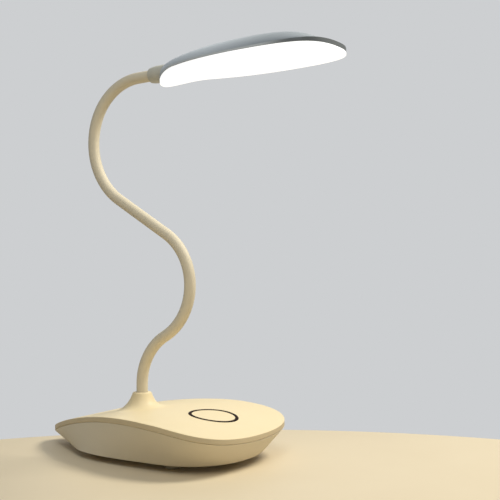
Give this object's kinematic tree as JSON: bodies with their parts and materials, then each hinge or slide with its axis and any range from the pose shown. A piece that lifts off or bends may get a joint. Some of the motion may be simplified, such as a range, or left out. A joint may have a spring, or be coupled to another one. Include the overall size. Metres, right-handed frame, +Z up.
{
  "type": "desk lamp",
  "caption": "Rechargeable desk lamp: pebble-shaped base with a touch ring, flexible S-curved neck and a leaf-shaped light head.",
  "frame": {"origin": "on the desk under the middle of the lamp's length, on its plane of symmetry; z = 0 is the underside of the feet", "axes": "+X towards the tip of the head, +Z up, +Y to the left; the lamp is symmetric about Y = 0"},
  "size_m": [0.2307, 0.1162, 0.2816],
  "materials": {
    "cover_ivory": "fine matte moulded",
    "bowl_ivory": "fine matte moulded",
    "silicone_sleeve": "matte silicone",
    "hose_steel": "plain",
    "lead_black": "matte",
    "foot_rubber": "matte",
    "plated_steel": "plated",
    "ring_black": "satin inlay",
    "spring_copper": "plain",
    "board_green": "solder mask",
    "chip_black": "moulded",
    "socket_steel": "plated",
    "cell_wrap": "shrink film",
    "cradle_black": "moulded",
    "ballast_steel": "zinc plated",
    "shell_grey": "fine satin moulded",
    "diffuser_white": "milky diffuser",
    "board_white": "white solder mask",
    "light_chip": "phosphor",
    "tray_white": "moulded"
  },
  "bodies": {
    "base": {"base_cover": "cover_ivory", "base_bowl": "bowl_ivory", "base_feet": "foot_rubber", "base_screws": "plated_steel", "touch_ring": "ring_black", "touch_spring": "spring_copper", "control_board": "board_green", "control_chips": "chip_black", "charge_board": "board_green", "charge_socket": "socket_steel", "battery_cell": "cell_wrap", "battery_cradle": "cradle_black", "ballast_plate": "ballast_steel", "neck_stub": "plated_steel", "neck_nut": "plated_steel", "neck_washer": "plated_steel", "neck_sleeve_0": "silicone_sleeve", "neck_core_0": "hose_steel", "neck_lead_0": "lead_black"},
    "neck_link_1": {"neck_sleeve_1": "silicone_sleeve", "neck_core_1": "hose_steel", "neck_lead_1": "lead_black"},
    "neck_link_2": {"neck_sleeve_2": "silicone_sleeve", "neck_core_2": "hose_steel", "neck_lead_2": "lead_black"},
    "neck_link_3": {"neck_sleeve_3": "silicone_sleeve", "neck_core_3": "hose_steel", "neck_lead_3": "lead_black"},
    "neck_link_4": {"neck_sleeve_4": "silicone_sleeve", "neck_core_4": "hose_steel", "neck_lead_4": "lead_black"},
    "neck_link_5": {"neck_sleeve_5": "silicone_sleeve", "neck_core_5": "hose_steel", "neck_lead_5": "lead_black"},
    "neck_link_6": {"neck_sleeve_6": "silicone_sleeve", "neck_core_6": "hose_steel", "neck_lead_6": "lead_black"},
    "head": {"head_collar": "shell_grey", "head_shell": "shell_grey", "head_diffuser": "diffuser_white", "head_stub": "plated_steel", "head_nut": "plated_steel", "light_board": "board_white", "light_chips": "light_chip", "light_tray": "tray_white", "head_spine": "tray_white", "head_screws": "plated_steel", "neck_sleeve_7": "silicone_sleeve", "neck_core_7": "hose_steel", "neck_lead_7": "lead_black"}
  },
  "joints": [
    {"name": "neck_bend_1", "type": "hinge", "parent": "base", "child": "neck_link_1", "pos_m": [-0.0376, 0, 0.048], "axis": [0, 1, 0], "range_deg": [-30, 10], "deforming": ["neck_sleeve_0", "neck_lead_0", "neck_sleeve_1", "neck_lead_1"]},
    {"name": "neck_sway_1", "type": "hinge", "parent": "neck_link_1", "child": "neck_link_2", "pos_m": [-0.01755, 0, 0.08238], "axis": [-0.4924, 0, 0.8704], "range_deg": [-30, 30], "deforming": ["neck_sleeve_2", "neck_lead_2"]},
    {"name": "neck_bend_2", "type": "hinge", "parent": "neck_link_2", "child": "neck_link_3", "pos_m": [0.00326, 0, 0.11753], "axis": [0, 1, 0], "range_deg": [-10, 32], "deforming": ["neck_sleeve_3", "neck_lead_3"]},
    {"name": "neck_sway_2", "type": "hinge", "parent": "neck_link_3", "child": "neck_link_4", "pos_m": [-0.01662, 0, 0.15321], "axis": [-0.515, 0, -0.8572], "range_deg": [-30, 30], "deforming": ["neck_sleeve_4", "neck_lead_4"]},
    {"name": "neck_bend_3", "type": "hinge", "parent": "neck_link_4", "child": "neck_link_5", "pos_m": [-0.0582, 0, 0.17819], "axis": [0, 1, 0], "range_deg": [-45, 20], "deforming": ["neck_sleeve_5", "neck_lead_5"]},
    {"name": "neck_sway_3", "type": "hinge", "parent": "neck_link_5", "child": "neck_link_6", "pos_m": [-0.0796, 0, 0.23394], "axis": [-0.9563, 0, 0.2924], "range_deg": [-30, 30], "deforming": ["neck_sleeve_6", "neck_lead_6"]},
    {"name": "neck_bend_4", "type": "hinge", "parent": "neck_link_6", "child": "head", "pos_m": [-0.04118, 0, 0.26395], "axis": [0, 1, 0], "range_deg": [-45, 20], "deforming": ["neck_sleeve_7", "neck_lead_7"]}
  ]
}
